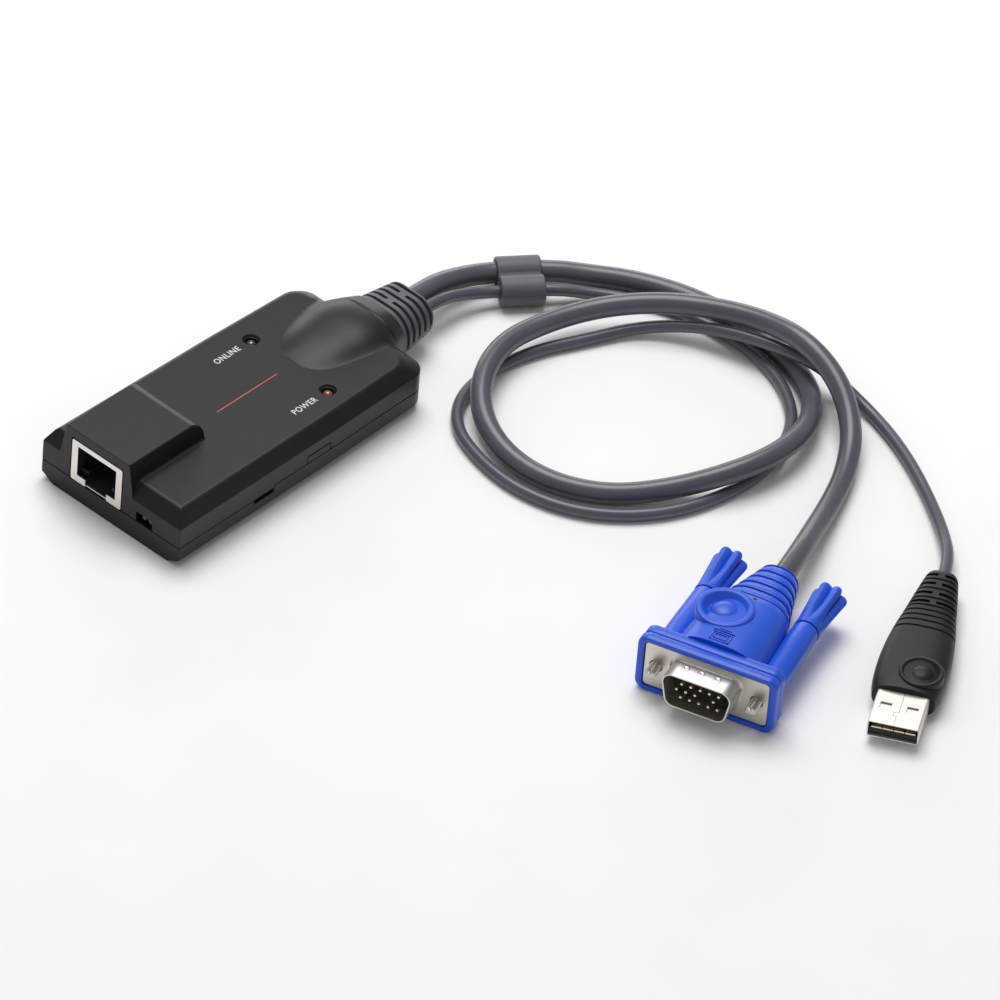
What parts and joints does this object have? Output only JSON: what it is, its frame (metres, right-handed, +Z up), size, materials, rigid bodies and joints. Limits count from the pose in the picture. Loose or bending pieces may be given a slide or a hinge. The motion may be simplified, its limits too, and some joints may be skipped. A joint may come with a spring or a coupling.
{
  "type": "kvm dongle",
  "caption": "Flat moulded switch adapter with a network socket, a ribbed boot and captive cords that end in a video plug with lock screws and a serial bus plug.",
  "frame": {"origin": "middle of the housing's underside, where it stands on the table; the cords and what is on them are left out of the measure", "axes": "+X from the network socket towards the boot and the cords, +Z up from the table, -Y towards the side where the plugs lie"},
  "size_m": [0.1605, 0.2013, 0.0204],
  "materials": {
    "housing": "fine satin grain",
    "board": "green solder resist",
    "chip": "matt epoxy",
    "crystal_can": "satin nickel",
    "socket_shield": "satin tinned sheet",
    "socket_insert": "matt",
    "gold_contact": "gold plated",
    "switch_body": "matt",
    "switch_lever": "matt",
    "clear_lamp": "clear dome",
    "amber_lamp": "tinted dome",
    "tinned_lead": "tinned",
    "header_plastic": "matt",
    "boot_rubber": "soft satin",
    "clip_plastic": "satin",
    "cord_jacket": "half gloss jacket",
    "blue_plastic": "satin",
    "nickel_shell": "nickel plated",
    "black_insulator": "matt",
    "nickel_pin": "nickel plated",
    "screw_steel": "nickel plated steel",
    "grip_plastic": "satin"
  },
  "bodies": {
    "adapter": {"upper_shell": "housing", "lower_shell": "housing", "circuit_board": "board", "control_chip": "chip", "video_chip": "chip", "transformer": "chip", "crystal": "crystal_can", "video_header": "header_plastic", "serial_header": "header_plastic", "rj45_shield": "socket_shield", "rj45_insert": "socket_insert", "rj45_contacts": "gold_contact", "dip_switch": "switch_body", "link_lamp": "clear_lamp", "power_lamp": "amber_lamp", "lamp_leads": "tinned_lead", "boot": "boot_rubber", "cable_clip": "clip_plastic", "vga_cord": "cord_jacket", "usb_cord": "cord_jacket", "vga_hood": "blue_plastic", "vga_shell": "nickel_shell", "vga_insert": "black_insulator", "vga_pins": "nickel_pin", "usb_shell": "nickel_shell", "usb_tongue": "black_insulator", "usb_contacts": "gold_contact", "usb_grip": "grip_plastic"},
    "lever_1": {"dip_lever_1": "switch_lever"},
    "lever_2": {"dip_lever_2": "switch_lever"},
    "thumbscrew_left": {"lock_screw_left": "screw_steel", "knob_left": "blue_plastic"},
    "thumbscrew_right": {"lock_screw_right": "screw_steel", "knob_right": "blue_plastic"}
  },
  "joints": [
    {"name": "lever_1_slide", "type": "slide", "parent": "adapter", "child": "lever_1", "axis": [0, 0, 1], "range_m": [0, 0.001]},
    {"name": "lever_2_slide", "type": "slide", "parent": "adapter", "child": "lever_2", "axis": [0, 0, 1], "range_m": [0, 0.001]},
    {"name": "thumbscrew_left_turn", "type": "hinge", "parent": "adapter", "child": "thumbscrew_left", "pos_m": [0.03295, -0.11596, 0.0078], "axis": [0.9537, 0.3007, 0], "continuous": true},
    {"name": "thumbscrew_right_turn", "type": "hinge", "parent": "adapter", "child": "thumbscrew_right", "pos_m": [0.04047, -0.1398, 0.0078], "axis": [0.9537, 0.3007, 0], "continuous": true}
  ]
}
